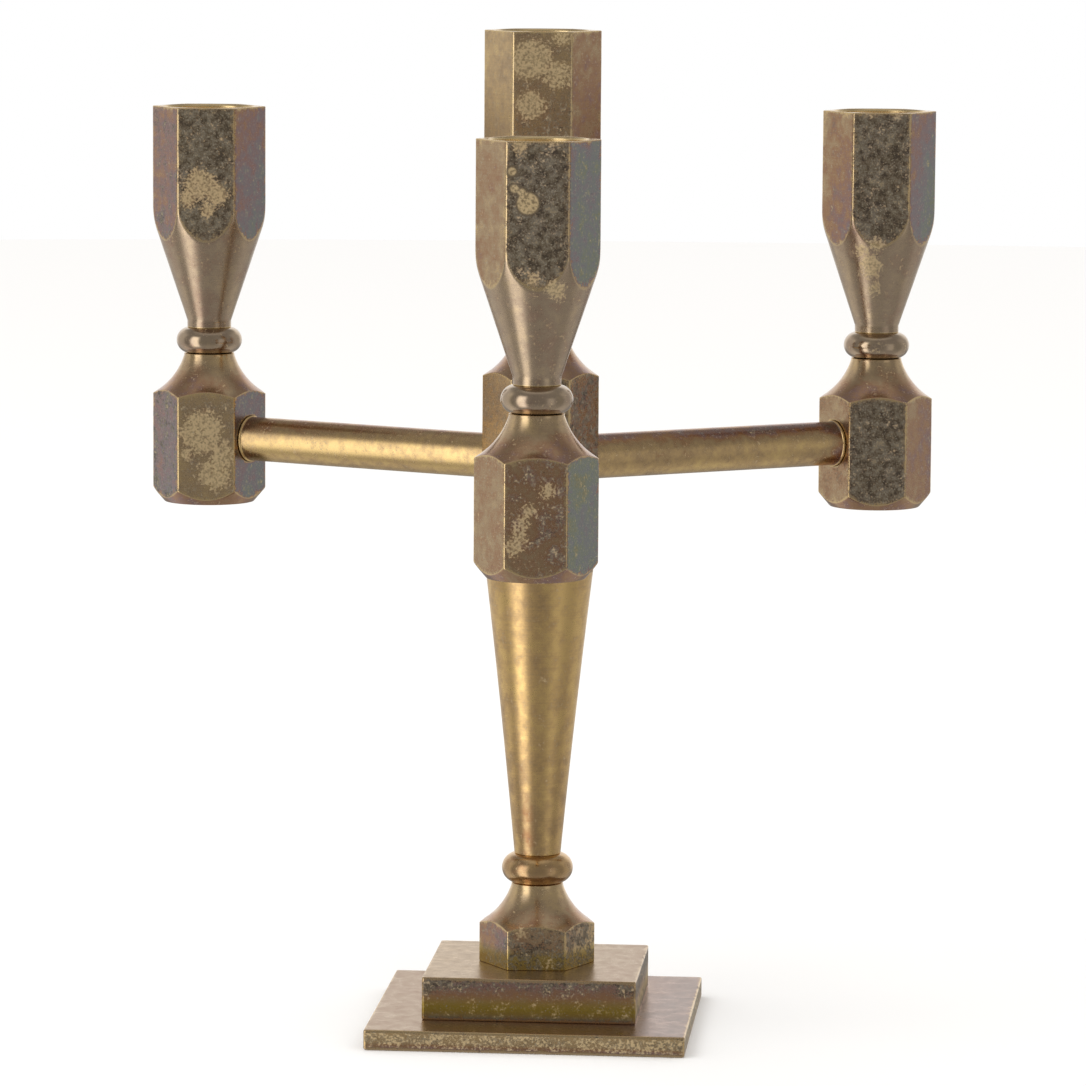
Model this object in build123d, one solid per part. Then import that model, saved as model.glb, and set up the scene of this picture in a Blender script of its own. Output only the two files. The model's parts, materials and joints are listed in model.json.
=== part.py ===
from build123d import *
import os
from math import cos, radians, sin, tan

os.makedirs("parts", exist_ok=True)

# A four-light table candelabra turned and milled from brass bar. Three arms leave a hexagonal hub at
# 120 degrees, each with a candle cup on a hexagonal holder, and a taller cup stands on the hub itself.
# A tapering stem carries the hub on a two-step base of nearly square plates. Millimetres and degrees.
# The origin is the centre of the base's underside, +Z is up and the front arm points along -Y.

# ---- driving dimensions -------------------------------------------------------------------------------
HEX_FLATS = 27.0            # across the flats of the hexagonal bar
HEX_CORNER = HEX_FLATS / 2 / cos(radians(30))
HEX_EDGE_ROUND = 0.5        # the bar's long edges are slightly broken
EDGE_BREAK = 0.3            # chamfer on turned rims
BAR_CHAMFER_R = 12.4        # flat circle left by the chamfer at a hexagonal piece's lower end
BAR_CHAMFER_H = 3.8

ARM_ANGLES = {"front": -90.0, "right": 30.0, "left": 150.0}
ARM_REACH = 106.0           # from the stem's axis to each holder's axis
ROD_R = 6.0
ROD_Z = 152.8               # height of the arm rods' axes
ROD_ENGAGE = 7.0            # how far a rod's end is screwed into its block
ROD_MOUTH_CHAMFER = 0.4

FLARE_R = 18.4              # radius of the concave flare from the hexagon up to the neck
FLARE_TOP, FLARE_BOTTOM = 17.0, 61.0   # angles from the vertical at its two ends
NECK_R = 6.9
NECK_H = 0.5
FLARE_H = FLARE_R * (sin(radians(FLARE_BOTTOM)) - sin(radians(FLARE_TOP)))

HOLDER_TOP = 175.8          # top of an arm holder's neck, where its bead sits
HUB_TOP = 186.3
BLOCK_FOOT_ARM = 134.9      # undersides of the hexagonal blocks
BLOCK_FOOT_HUB = 124.0

BEAD_H = 7.1                # the half-round bead between a neck and a cup
BEAD_OUTER_R = 9.0
BASE_BEAD_H = 8.0
BASE_BEAD_OUTER_R = 9.55

CUP_H_ARM = 60.7
CUP_H_CENTER = 73.3
CUP_HEX_H_ARM = 30.3        # from the cone's meeting with the bar's corners to the rim
CUP_HEX_H_CENTER = 42.9
CUP_FOOT_R = 6.0
CUP_FOOT_H = 1.9
CUP_BLEND_R = 24.0          # the turned blend from the cone to the bar's corners
CANDLE_R = 12.3
CANDLE_DEPTH = 22.0
MOUTH_CHAMFER = 0.5

STUD_R = 3.0                # M6 studs, modelled at the thread's outer radius
STUD_SINK = 12.0            # length below the neck's top
STUD_INTO_CUP = 10.0
STUD_HOLE_EXTRA = 1.5       # a tapped hole is this much deeper than its stud
CUP_THREAD_R = 3.05         # running fit, because the cups unscrew
BEAD_HOLE_R = 3.35

STEM_FOOT_R = 6.2
STEM_MID_R = 10.05
STEM_TOP_R = 14.4
STEM_CHAMFER = 0.6
HUB_STUD_R = 4.0            # M8 stud between stem and hub
HUB_STUD_REACH = 12.0       # into each of them

LOWER_PLATE = (84.8, 80.5)  # width and depth
LOWER_PLATE_T = 5.3
UPPER_PLATE = (57.0, 51.5)
UPPER_PLATE_T = 11.5
PLATE_CHAMFER = 0.35
BASE_TURN = -4.3            # the clamped base sits a few degrees round from the arms
FOOT_HEX_H = 10.5           # straight part of the hexagonal foot

BASE_SCREW_R = 3.0          # M6 countersunk slotted screw from below
BASE_SCREW_HOLE_R = 3.3
BASE_SCREW_HEAD_R = 6.0
BASE_SCREW_RECESS = 0.4     # its head lies this far inside the underside
BASE_SCREW_INTO_STEM = 16.0
SLOT_W, SLOT_DEPTH = 1.6, 1.5

# ---- heights that follow ------------------------------------------------------------------------------
UPPER_PLATE_Z = LOWER_PLATE_T
FOOT_Z = UPPER_PLATE_Z + UPPER_PLATE_T
FOOT_TOP = FOOT_Z + FOOT_HEX_H + FLARE_H + NECK_H
STEM_Z = FOOT_TOP + BASE_BEAD_H
STEM_TOP = BLOCK_FOOT_HUB


# ---- shapes -------------------------------------------------------------------------------------------
def turned(outline):
    """The solid swept round the Z axis by a closed outline of curves in (radius, height)."""
    return revolve(Plane.XZ * make_face(outline), axis=Axis.Z)


def cylinder(radius, bottom, top):
    """A plain cylinder round the Z axis between two heights."""
    return Pos(0, 0, bottom) * extrude(Circle(radius), amount=top - bottom)


def cone(radius_bottom, radius_top, bottom, top):
    """A frustum round the Z axis between two heights."""
    middle = (bottom + top) / 2
    return Pos(0, 0, middle) * Cone(radius_bottom, radius_top, top - bottom)


def hex_bar(bottom, top):
    """Hexagonal bar with flats facing +Y and -Y and its long edges slightly rounded."""
    section = RegularPolygon(HEX_CORNER, 6, major_radius=True)
    section = fillet(section.vertices(), HEX_EDGE_ROUND)
    return Pos(0, 0, bottom) * extrude(section, amount=top - bottom)


def flare_arc(neck_top):
    """The concave arc from the neck down and outwards past the bar's corners."""
    centre_r = NECK_R + FLARE_R * cos(radians(FLARE_TOP))
    centre_z = neck_top - NECK_H + FLARE_R * sin(radians(FLARE_TOP))

    def at(angle):
        a = radians(angle)
        return (centre_r - FLARE_R * cos(a), centre_z - FLARE_R * sin(a))

    middle = (FLARE_TOP + FLARE_BOTTOM) / 2
    return ThreePointArc(at(FLARE_TOP), at(middle), at(FLARE_BOTTOM))


def flared_block(bottom, neck_top, chamfered):
    """A hexagonal block whose top is turned to a flare and a neck, with or without a lower chamfer."""
    arc = flare_arc(neck_top)
    foot_r = BAR_CHAMFER_R if chamfered else HEX_CORNER
    foot_h = BAR_CHAMFER_H if chamfered else EDGE_BREAK
    rim = (arc @ 1).X
    outline = [
        Polyline((0, bottom), (foot_r, bottom), (rim, bottom + foot_h), arc @ 1),
        arc,
        Polyline(arc @ 0, (NECK_R, neck_top), (0, neck_top), (0, bottom)),
    ]
    return hex_bar(bottom, neck_top) & turned(outline)


def bead(bottom, height, outer_r, hole_r):
    """A ring with a half-round outside."""
    half = height / 2
    inner = outer_r - half
    outline = [
        Line((inner, bottom), (hole_r, bottom)),
        Line((hole_r, bottom), (hole_r, bottom + height)),
        Line((hole_r, bottom + height), (inner, bottom + height)),
        ThreePointArc((inner, bottom + height), (outer_r, bottom + half), (inner, bottom)),
    ]
    return turned(outline)


def candle_cup(bottom, height, hex_height):
    """A cup: a turned cone that blends into hexagonal bar, bored for a candle from above."""
    top = bottom + height
    corner_z = top - hex_height
    foot_z = bottom + CUP_FOOT_H
    slope = (HEX_CORNER - CUP_FOOT_R) / (corner_z - foot_z)
    reach = CUP_BLEND_R * tan(radians(Vector(1, slope).get_angle(Vector(1, 0)) / 2))
    cone_side = Vector(slope, 1).normalized()
    corner = Vector(HEX_CORNER, corner_z)
    blend_low = corner - cone_side * reach
    blend_high = Vector(HEX_CORNER, corner_z + reach)
    blend = TangentArc(blend_low, blend_high, tangent=cone_side)
    outline = [
        Polyline((0, bottom), (CUP_FOOT_R, bottom), (CUP_FOOT_R, foot_z), blend_low),
        blend,
        Polyline(
            blend_high,
            (HEX_CORNER, top - EDGE_BREAK),
            (HEX_CORNER - EDGE_BREAK, top),
            (0, top),
            (0, bottom),
        ),
    ]
    shape = hex_bar(bottom, top) & turned(outline)
    shape -= cylinder(CANDLE_R, top - CANDLE_DEPTH, top)
    shape -= cone(CANDLE_R, CANDLE_R + MOUTH_CHAMFER, top - MOUTH_CHAMFER, top)
    shape -= cylinder(CUP_THREAD_R, bottom, bottom + STUD_INTO_CUP + STUD_HOLE_EXTRA)
    return shape


def side_bore(angle, inner, outer):
    """A rod's bore along an arm from one distance to another, with a small chamfer at its open end."""
    length = abs(outer - inner)
    toward = 1 if outer > inner else -1
    chamfer = Cone(ROD_R, ROD_R + ROD_MOUTH_CHAMFER, ROD_MOUTH_CHAMFER)
    bore = Pos(0, 0, length / 2) * Cylinder(ROD_R, length)
    bore += Pos(0, 0, length - ROD_MOUTH_CHAMFER / 2) * chamfer
    return Rot(0, 0, angle) * Pos(inner, 0, ROD_Z) * Rot(0, 90 * toward, 0) * bore


def stud(radius, bottom, top):
    """A threaded stud, plain at the thread's outer radius, with chamfered ends."""
    rod = cylinder(radius, bottom, top)
    ends = rod.edges().filter_by(GeomType.CIRCLE)
    return chamfer(ends, 0.6)


def base_plate(size, bottom, thickness, hole):
    """A nearly square plate with broken edges, drilled for the base screw, turned by BASE_TURN."""
    width, depth = size
    plate = Pos(0, 0, bottom + thickness / 2) * Box(width, depth, thickness)
    plate = chamfer(plate.edges(), PLATE_CHAMFER)
    return Rot(0, 0, BASE_TURN) * (plate - hole)


# ---- base, foot and stem --------------------------------------------------------------------------------
screw_hole = cylinder(BASE_SCREW_HOLE_R, 0, STEM_Z)
countersink = cone(BASE_SCREW_HEAD_R + BASE_SCREW_RECESS, 0, 0, BASE_SCREW_HEAD_R + BASE_SCREW_RECESS)

nodes = {}
nodes["lower_base_plate"] = base_plate(LOWER_PLATE, 0, LOWER_PLATE_T, screw_hole + countersink)
nodes["upper_base_plate"] = base_plate(UPPER_PLATE, UPPER_PLATE_Z, UPPER_PLATE_T, screw_hole)
nodes["foot"] = flared_block(FOOT_Z, FOOT_TOP, False) - screw_hole
nodes["base_bead"] = bead(FOOT_TOP, BASE_BEAD_H, BASE_BEAD_OUTER_R, BASE_SCREW_HOLE_R)

stem_side = ThreePointArc(
    (STEM_FOOT_R, STEM_Z),
    (STEM_MID_R, (STEM_Z + STEM_TOP) / 2),
    (STEM_TOP_R, STEM_TOP - STEM_CHAMFER),
)
stem = turned(
    [
        stem_side,
        Polyline(
            stem_side @ 1,
            (STEM_TOP_R - STEM_CHAMFER, STEM_TOP),
            (0, STEM_TOP),
            (0, STEM_Z),
            stem_side @ 0,
        ),
    ]
)
stem -= cylinder(BASE_SCREW_R, STEM_Z, STEM_Z + BASE_SCREW_INTO_STEM + STUD_HOLE_EXTRA)
stem -= cylinder(HUB_STUD_R, STEM_TOP - HUB_STUD_REACH - STUD_HOLE_EXTRA, STEM_TOP)
nodes["stem"] = stem

head_z = BASE_SCREW_RECESS
head = cone(BASE_SCREW_HEAD_R, BASE_SCREW_R, head_z, head_z + BASE_SCREW_HEAD_R - BASE_SCREW_R)
shank = cylinder(BASE_SCREW_R, head_z, STEM_Z + BASE_SCREW_INTO_STEM)
slot = Pos(0, 0, head_z + SLOT_DEPTH / 2) * Box(3 * BASE_SCREW_HEAD_R, SLOT_W, SLOT_DEPTH)
nodes["base_screw"] = head + shank - slot

# ---- hub ------------------------------------------------------------------------------------------------
hub = flared_block(BLOCK_FOOT_HUB, HUB_TOP, True)
hub -= cylinder(HUB_STUD_R, BLOCK_FOOT_HUB, BLOCK_FOOT_HUB + HUB_STUD_REACH + STUD_HOLE_EXTRA)
hub -= cylinder(STUD_R, HUB_TOP - STUD_SINK, HUB_TOP)
for angle in ARM_ANGLES.values():
    hub -= side_bore(angle, HEX_FLATS / 2 - ROD_ENGAGE, HEX_FLATS / 2)
nodes["hub"] = hub
nodes["hub_stud"] = stud(HUB_STUD_R, STEM_TOP - HUB_STUD_REACH, STEM_TOP + HUB_STUD_REACH)

# ---- arms -----------------------------------------------------------------------------------------------
rod_start = HEX_FLATS / 2 - ROD_ENGAGE
rod_end = ARM_REACH - HEX_FLATS / 2 + ROD_ENGAGE
for side, angle in ARM_ANGLES.items():
    rod = Rot(0, 90, 0) * Cylinder(ROD_R, rod_end - rod_start)
    rod = chamfer(rod.edges().filter_by(GeomType.CIRCLE), 0.8)
    nodes[f"arm_rod_{side}"] = Rot(0, 0, angle) * Pos((rod_start + rod_end) / 2, 0, ROD_Z) * rod

    x, y = ARM_REACH * cos(radians(angle)), ARM_REACH * sin(radians(angle))
    holder = Pos(x, y, 0) * flared_block(BLOCK_FOOT_ARM, HOLDER_TOP, True)
    holder -= Pos(x, y, 0) * cylinder(STUD_R, HOLDER_TOP - STUD_SINK, HOLDER_TOP)
    holder -= side_bore(angle, rod_end, ARM_REACH - HEX_FLATS / 2)
    nodes[f"holder_{side}"] = holder

# ---- candle cups, one on each arm and one on the hub ------------------------------------------------------
seats = {
    side: (ARM_REACH * cos(radians(a)), ARM_REACH * sin(radians(a)), HOLDER_TOP, CUP_H_ARM, CUP_HEX_H_ARM)
    for side, a in ARM_ANGLES.items()
}
seats["center"] = (0, 0, HUB_TOP, CUP_H_CENTER, CUP_HEX_H_CENTER)
for side, (x, y, seat_z, cup_h, hex_h) in seats.items():
    cup_z = seat_z + BEAD_H
    place = Pos(x, y, 0)
    nodes[f"bead_{side}"] = place * bead(seat_z, BEAD_H, BEAD_OUTER_R, BEAD_HOLE_R)
    nodes[f"cup_{side}"] = place * candle_cup(cup_z, cup_h, hex_h)
    nodes[f"stud_{side}"] = place * stud(STUD_R, seat_z - STUD_SINK, cup_z + STUD_INTO_CUP)

for node, shape in nodes.items():
    export_step(shape, f"parts/{node}.step")
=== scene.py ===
# %% [markdown]
# # A four-light brass candelabra
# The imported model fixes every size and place: hexagonal blocks and cups, round rods and stem, two
# nearly square plates, and the studs that hold them together. This lesson gives each piece its finished
# surface and its aged brass. Every surface is worked out as whole arrays, and every finish is a node
# tree.

# %% Load the frame
import json
import math

import bpy
import numpy as np
from mathutils import Matrix, Vector


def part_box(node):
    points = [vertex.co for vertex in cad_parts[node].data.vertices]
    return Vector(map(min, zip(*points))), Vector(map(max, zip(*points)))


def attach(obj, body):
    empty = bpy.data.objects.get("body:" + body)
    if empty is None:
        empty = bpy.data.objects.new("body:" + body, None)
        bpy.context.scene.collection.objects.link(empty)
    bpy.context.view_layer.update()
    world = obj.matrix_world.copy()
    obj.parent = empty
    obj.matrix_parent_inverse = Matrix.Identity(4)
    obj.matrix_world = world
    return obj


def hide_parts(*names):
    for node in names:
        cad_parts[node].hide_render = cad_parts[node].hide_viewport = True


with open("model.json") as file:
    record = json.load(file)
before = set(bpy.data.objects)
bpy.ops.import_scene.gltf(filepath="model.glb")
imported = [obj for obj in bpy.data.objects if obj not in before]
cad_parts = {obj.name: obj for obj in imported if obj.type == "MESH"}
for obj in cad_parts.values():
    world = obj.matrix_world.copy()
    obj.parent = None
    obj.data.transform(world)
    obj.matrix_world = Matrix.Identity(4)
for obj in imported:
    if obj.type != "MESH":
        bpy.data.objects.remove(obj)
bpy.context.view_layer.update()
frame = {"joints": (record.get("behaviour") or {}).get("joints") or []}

MM = 0.001

# %% [markdown]
# ## The camera
# A long lens from one and a half metres keeps the upright pieces parallel. It stands a little above the
# cups' rims and looks down by about seven degrees, so the rims are thin ellipses and both plates show
# their tops. Pan, tilt and roll are turned into the camera's three axes by plain trigonometry.

# %% Camera
CAMERA_PLACE = Vector((0.01304, -1.49553, 0.31641))
CAMERA_PAN, CAMERA_TILT, CAMERA_ROLL = -0.00812, 0.12383, 0.00702
CAMERA_LENS, CAMERA_SENSOR = 187.15, 36.0


def camera_axes(pan, tilt, roll):
    """Forward is turned by pan about the vertical and dipped by tilt; right and up then roll about it."""
    forward = Vector((math.sin(pan) * math.cos(tilt), math.cos(pan) * math.cos(tilt), -math.sin(tilt)))
    right = Vector((math.cos(pan), -math.sin(pan), 0))
    up = right.cross(forward)
    rolled = math.cos(roll) * right + math.sin(roll) * up
    return rolled, math.cos(roll) * up - math.sin(roll) * right, -forward


camera = bpy.data.objects.new("camera", bpy.data.cameras.new("camera"))
camera.data.lens, camera.data.sensor_width = CAMERA_LENS, CAMERA_SENSOR
camera.data.clip_start, camera.data.clip_end = 0.05, 100
camera.matrix_world = Matrix.Translation(CAMERA_PLACE) @ Matrix(
    camera_axes(CAMERA_PAN, CAMERA_TILT, CAMERA_ROLL)
).transposed().to_4x4()
bpy.context.scene.collection.objects.link(camera)
bpy.context.scene.camera = camera
print("camera looks along", [round(v, 3) for v in camera.matrix_world.to_quaternion() @ Vector((0, 0, -1))])

# %% [markdown]
# ## Bar stock
# Most of this object starts as hexagonal bar. Seen from its axis, a bar's outside is a distance that
# depends on the angle only: the flat's distance over a cosine, with a small circle at each long edge.
# The square plates are the same thing with four sides.

# %% The outside of a bar
HEX_SIDES, SQUARE_SIDES = 6, 4
HEX_EDGE_ROUND = 0.75
EDGE_GAP = 0.12
FACE_ANGLE = -math.pi / 2


def bar_radius(angle, apothem, sides, edge_round):
    """Distance from the axis to the outside of a bar, in the direction of angle.

    The angle is folded until it counts from a flat's middle. There the distance is the apothem over
    the cosine of the folded angle. Past the point where the rounding starts, it is the far crossing
    with a circle of radius edge_round whose centre lies on the diagonal."""
    half = math.pi / sides
    folded = np.abs((angle - FACE_ANGLE + half) % (2 * half) - half)
    start = np.arctan((apothem - edge_round) * math.tan(half) / apothem)
    centre = (apothem - edge_round) / math.cos(half)
    away = half - folded
    arc = centre * np.cos(away) + np.sqrt(np.maximum(edge_round**2 - (centre * np.sin(away)) ** 2, 0))
    return np.where(folded > start, arc, apothem / np.cos(folded))


def bar_angles(apothem, sides, edge_round, across):
    """Column angles round a bar: even steps over each flat, finer ones over each rounded edge.

    A step on a flat is a step in distance along it, so its angle is the arctangent of that distance
    over the apothem. Two extra columns stand just inside each edge, so that the flat shades flat."""
    half = math.pi / sides
    reach = (apothem - edge_round) * math.tan(half)
    inside = reach - EDGE_GAP
    along = np.concatenate([[-reach], np.linspace(-inside, inside, across), [reach]])
    flat = np.arctan(along / apothem)
    edge = np.linspace(flat[-1], 2 * half - flat[-1], 9)[1:-1]
    one = np.concatenate([flat, edge])
    turns = np.arange(sides)[:, None] * 2 * half
    return (FACE_ANGLE + turns + one[None, :]).ravel()


over_edges = 2 * bar_radius(np.radians([-60.0]), 13.5, HEX_SIDES, HEX_EDGE_ROUND)
print("a hexagonal bar 27 mm across its flats is", over_edges.round(2), "mm over its edges")

# %% [markdown]
# ## From arrays to a mesh
# A surface is a grid of rows, along the outline, and columns, round the axis. If a first or last row
# has no radius, it is a pole, and one point closes it with a fan. If neither has, the last row joins
# the first one, as on a ring. Numbers that the finish needs ride along as point attributes.

# %% Grid to mesh
def grid_mesh(name, place, angle, radius, height, closed_ring=False, **attributes):
    """x is the axis plus radius times cosine, y plus radius times sine, and z is height, in millimetres.

    Unless the ring is closed, the first row and the last one are poles, and each keeps one point."""
    rows, columns = radius.shape
    x = place[0] + radius * np.cos(angle)
    y = place[1] + radius * np.sin(angle)
    points = np.stack([x, y, np.broadcast_to(height, radius.shape)], axis=-1).reshape(-1, 3) * MM
    index = np.arange(rows * columns).reshape(rows, columns)
    if closed_ring:
        index = np.vstack([index, index[:1]])
    low, high = index[:-1], index[1:]
    quads = np.stack([low, np.roll(low, -1, 1), np.roll(high, -1, 1), high], axis=-1)
    keep = np.arange(rows * columns)
    faces = quads.reshape(-1, 4).tolist()
    if not closed_ring:
        keep = np.append(0, keep[columns : (rows - 1) * columns + 1])
        order = np.clip(np.arange(rows * columns) - columns + 1, 0, len(keep) - 1)
        faces = order[quads[1:-1]].reshape(-1, 4).tolist()
        faces += order[quads[0][:, [0, 2, 3]]].tolist() + order[quads[-1][:, [0, 1, 2]]].tolist()
    mesh = bpy.data.meshes.new(name)
    mesh.from_pydata(points[keep].tolist(), [], faces)
    for key, values in attributes.items():
        values = np.broadcast_to(values, radius.shape).ravel()[keep]
        layer = mesh.attributes.new(key, "FLOAT", "POINT")
        layer.data.foreach_set("value", np.ascontiguousarray(values, dtype=np.float32))
    mesh.polygons.foreach_set("use_smooth", np.ones(len(mesh.polygons), dtype=bool))
    mesh.update()
    piece = bpy.data.objects.new(name, mesh)
    bpy.context.scene.collection.objects.link(piece)
    return piece


def stand_for(piece, node, finish, body="frame"):
    """The piece takes a CAD node's place, rides on its body and wears its finish."""
    piece.data.materials.append(finish)
    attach(piece, body)
    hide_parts(node)
    print(f"{piece.name}: {len(piece.data.vertices)} points for {node}")


print("surfaces are worked out in millimetres; one is", MM, "of the frame's metres")

# %% [markdown]
# ## Outlines
# An outline runs from the inside of a piece, out along its underside, up its outside and back in over
# its top. A turned corner is never a knife edge, so each one gets a small arc. Where a lathe tool has
# met hexagonal bar, the piece is the smaller of two radii: what the tool left and what the bar had. A
# softened minimum of the two breaks the edge between them as polishing does.

# %% Outline helpers
NO_EDGE, NO_DROP = 6.0, 3.0


def rounded(points, radius=0.15, steps=4):
    """An open outline with its inner corners replaced by arcs.

    Each corner is cut back by the same distance on both sides, and the arc between is a quadratic
    curve whose middle control point is the corner."""
    corners = np.array(points, float)
    out = [corners[0]]
    for before, here, after in zip(corners[:-2], corners[1:-1], corners[2:]):
        back, on = before - here, after - here
        cut = min(radius, 0.45 * np.hypot(*back), 0.45 * np.hypot(*on))
        start, end = here + back * cut / np.hypot(*back), here + on * cut / np.hypot(*on)
        t = np.linspace(0, 1, steps + 1)[:, None]
        out += list((1 - t) ** 2 * start + 2 * t * (1 - t) * here + t**2 * end)
    out.append(corners[-1])
    return np.array(out)


def full_turn(columns):
    """Column angles in even steps round a turned piece."""
    return np.linspace(0, 2 * math.pi, columns, endpoint=False)


def all_round(outline, columns):
    """Rows whose radius and height are the same at every angle."""
    outline = np.array(outline, float)
    return np.tile(outline[:, :1], columns), np.tile(outline[:, 1:], columns)


def heights_between(knots, counts):
    """Rows of heights that run evenly between knots; a knot may be a number or one value per column."""
    knots = [np.broadcast_to(knot, HEX_ANGLES.shape) for knot in knots]
    rows = []
    for low, high, count in zip(knots, knots[1:], counts):
        rows.append(low + (high - low) * (np.arange(count)[:, None] / count))
    return np.vstack(rows + [knots[-1]])


corner = rounded([(0, 0), (1, 0), (1, 1)])
print("a rounded corner has", len(corner) - 2, "points, of which the middle one is", corner[3].round(3))

# %% [markdown]
# The rest is how surfaces meet and wander. Each formula takes whole arrays, so one call does every point
# of a piece.

# %% Soft meetings, ripples and drops
def soft_min(a, b, softness):
    """The smaller of a and b, less a quarter of softness where they are equal, so the edge is broken."""
    overlap = np.maximum(softness - np.abs(a - b), 0) / softness
    return np.minimum(a, b) - overlap**2 * softness / 4


def smooth_step(low, high, value):
    """0 below low, 1 above high, and a cubic ease in between."""
    t = np.clip((value - low) / (high - low), 0, 1)
    return t * t * (3 - 2 * t)


def ripple(angle, height, seed):
    """A slow wander between -1 and 1 over a surface: three sine waves of unrelated lengths."""
    return (
        np.sin(2 * angle + 0.31 * height + seed)
        + np.sin(5 * angle - 0.17 * height + 2.3 * seed)
        + np.sin(3 * angle + 0.73 * height + 4.1 * seed)
    ) / 3


def drop_distance(across, height, drops):
    """Distance in millimetres to the nearest drop's outline, negative inside it.

    A drop is (across, height, radius) on a flat."""
    nearest = np.full(np.broadcast(across, height).shape, NO_DROP)
    for drop_across, drop_height, drop_radius in drops:
        away = np.hypot(across - drop_across, height - drop_height) - drop_radius
        nearest = np.minimum(nearest, away)
    return nearest


print("the softened minimum of 1 and 1, with 0.35 to soften it:", soft_min(1.0, 1.0, 0.35).round(4))

# %% [markdown]
# The bar's size is read from a cup, and its columns are numbered by the flat that they lie on and by
# their angle from that flat's middle.

# %% Columns of the bar
def box_mm(node):
    """A CAD node's lowest and highest corners in millimetres, as arrays."""
    low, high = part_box(node)
    return np.array(low) / MM, np.array(high) / MM


low, high = box_mm("cup_front")
HEX_APOTHEM = float(high[1] - low[1]) / 2
HALF_FLAT = math.pi / HEX_SIDES
HEX_CORNER = HEX_APOTHEM / math.cos(HALF_FLAT)
FLAT_REACH = HEX_APOTHEM * math.tan(HALF_FLAT)
HEX_ANGLES = bar_angles(HEX_APOTHEM, HEX_SIDES, HEX_EDGE_ROUND, 22)
FROM_FRONT = HEX_ANGLES - FACE_ANGLE
HEX_FACE = np.floor(FROM_FRONT / (2 * HALF_FLAT) + 0.5).astype(int) % HEX_SIDES
HEX_TURN = (FROM_FRONT + HALF_FLAT) % (2 * HALF_FLAT) - HALF_FLAT
EVEN_BAR = bar_radius(HEX_ANGLES, HEX_APOTHEM, HEX_SIDES, HEX_EDGE_ROUND)
print("bar apothem", round(HEX_APOTHEM, 2), "mm;", len(HEX_ANGLES), "columns round the hexagon")

# %% [markdown]
# ## How each flat has aged
# The bar's flats have tarnished one by one. Those that face the front and the back carry a dark speckled
# patina; those at the sides have a thin even film whose thickness sets its colour, from tan through
# copper and violet to blue-grey. A table is the plain way to say it: each flat has three numbers, how
# much patina covers it, its film at the top, and how far the film thickens towards the foot. Flats count
# from the front, to the right. Drops and patches are round spots on the front flat, in millimetres
# across it and above the piece's foot, with a radius.

# %% Patina of every flat
AGEING = {
    # cover, film and sink of the front, right front, right back, back, left back and left front flats
    "cup_front": [
        (1.0, 0.5, 0), (0.10, 0.78, 0.14), (0.5, 0.6, 0.2), (0.9, 0.5, 0), (0.4, 0.4, 0.1), (0.16, 0.36, 0)
    ],
    "cup_right": [
        (1.0, 0.5, 0), (0.05, 0.66, 0.26), (0.4, 0.5, 0.1), (0.9, 0.5, 0), (0.5, 0.5, 0.2), (0.24, 0.40, 0.22)
    ],
    "cup_left": [
        (0.86, 0.4, 0), (0.05, 0.6, 0.24), (0.5, 0.5, 0.1), (0.8, 0.5, 0), (0.3, 0.6, 0.1), (0.36, 0.56, 0.06)
    ],
    "cup_center": [
        (0.40, 0.3, 0), (0.12, 0.42, 0.05), (0.5, 0.5, 0.1), (0.9, 0.5, 0), (0.4, 0.4, 0.1), (0.14, 0.20, 0)
    ],
    "holder_front": [
        (0.38, 0.44, 0), (0.04, 0.90, -0.05), (0.4, 0.6, 0), (0.9, 0.5, 0), (0.4, 0.4, 0), (0.10, 0.36, 0)
    ],
    "holder_right": [
        (1.0, 0.5, 0), (0.20, 0.40, 0.10), (0.4, 0.5, 0), (0.8, 0.5, 0), (0.5, 0.4, 0), (0.30, 0.38, 0)
    ],
    "holder_left": [
        (0.38, 0.26, 0), (0.08, 0.72, 0.06), (0.5, 0.5, 0), (0.9, 0.5, 0), (0.4, 0.4, 0), (0.42, 0.62, 0.1)
    ],
    "hub": [
        (0.8, 0.4, 0), (0.50, 0.50, 0), (0.5, 0.5, 0), (0.8, 0.5, 0), (0.5, 0.4, 0), (0.30, 0.26, 0)
    ],
    "foot": [
        (0.50, 0.40, 0), (0.52, 0.55, -0.35), (0.5, 0.5, 0), (0.9, 0.5, 0), (0.4, 0.4, 0), (0.34, 0.42, 0.20)
    ],
}
DROPS = {
    "cup_front": [(-2.4, 45.6, 2.9), (-3.9, 48.3, 1.2), (-5.7, 49.2, 1.3), (-6.3, 53.4, 1.3)],
}
PATCHES = {
    "cup_front": [(-4.5, 59.5, 1.0), (4.0, 61.0, 0.4), (4.5, 24.5, 1.6), (-1.0, 27.0, 0.8)],
    "cup_left": [(-1.6, 40.0, 3.4), (2.8, 37.4, 2.4), (-4.8, 36.0, 1.6), (0.5, 33.0, 1.0)],
    "cup_right": [
        (-3.0, 61.0, 0.4), (4.0, 60.6, 0.4), (-2.6, 19.0, 2.2), (-4.6, 23.4, 1.2), (-1.0, 25.0, 1.0),
        (-1.6, 12.5, 0.8)
    ],
    "cup_center": [(-3.0, 66.0, 4.5), (4.0, 62.0, 3.0), (-3.0, 54.0, 3.0), (5.0, 72.0, 1.5)],
    "holder_left": [(2.2, 8.6, 3.4), (-1.0, 20.0, 5.0), (4.5, 14.0, 2.5), (-6.0, 14.0, 0.6)],
    "holder_front": [
        (-1.6, 18.0, 1.0), (-2.6, 15.0, 1.0), (-3.8, 12.0, 1.1), (-5.2, 9.0, 1.2), (3.0, 23.0, 1.0)
    ],
    "hub": [(1.0, 42.0, 4.0)],
    "foot": [(-4.0, 9.6, 0.4), (3.0, 2.0, 0.3)],
}
SIDEWAYS = 0.35
PATCH_FADE = (2.6, -1.2)
PATCH_SHARE = 0.3


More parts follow.
